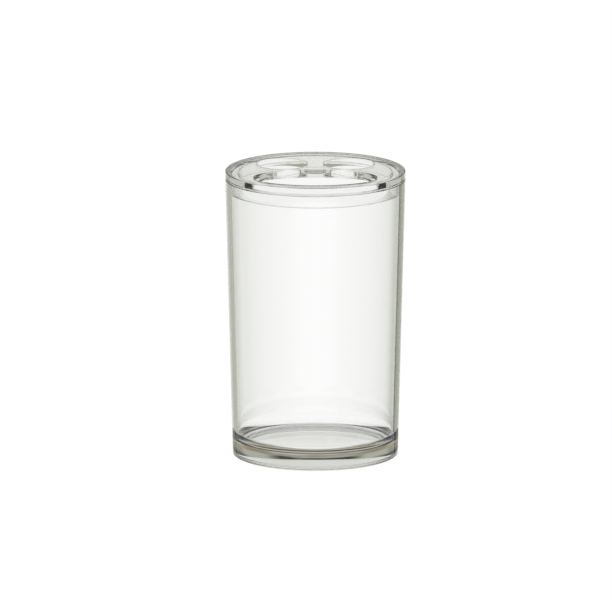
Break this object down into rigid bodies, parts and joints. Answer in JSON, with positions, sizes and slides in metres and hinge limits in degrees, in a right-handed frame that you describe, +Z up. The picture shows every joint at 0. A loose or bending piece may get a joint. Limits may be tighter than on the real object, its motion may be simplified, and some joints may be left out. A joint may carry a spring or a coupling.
{
  "type": "toothbrush holder",
  "caption": "Clear tapered tumbler with a thick moulded base and a lift-off plug lid that has round brush holes and a wide oval opening.",
  "frame": {"origin": "centre of the foot ring that the tumbler stands on", "axes": "+Z up along the tumbler's axis, -Y towards the front where the oval opening is, +X to the right seen from the front"},
  "size_m": [0.071, 0.071, 0.114],
  "materials": {
    "clear_acrylic": "polished, water clear, faint grey-green in its thick edges"
  },
  "bodies": {
    "tumbler": {"tumbler": "clear_acrylic"},
    "lid": {"lid": "clear_acrylic"}
  },
  "joints": [
    {"name": "lid_lift", "type": "slide", "parent": "tumbler", "child": "lid", "axis": [0, 0, 1], "range_m": [0, 0.03]}
  ]
}
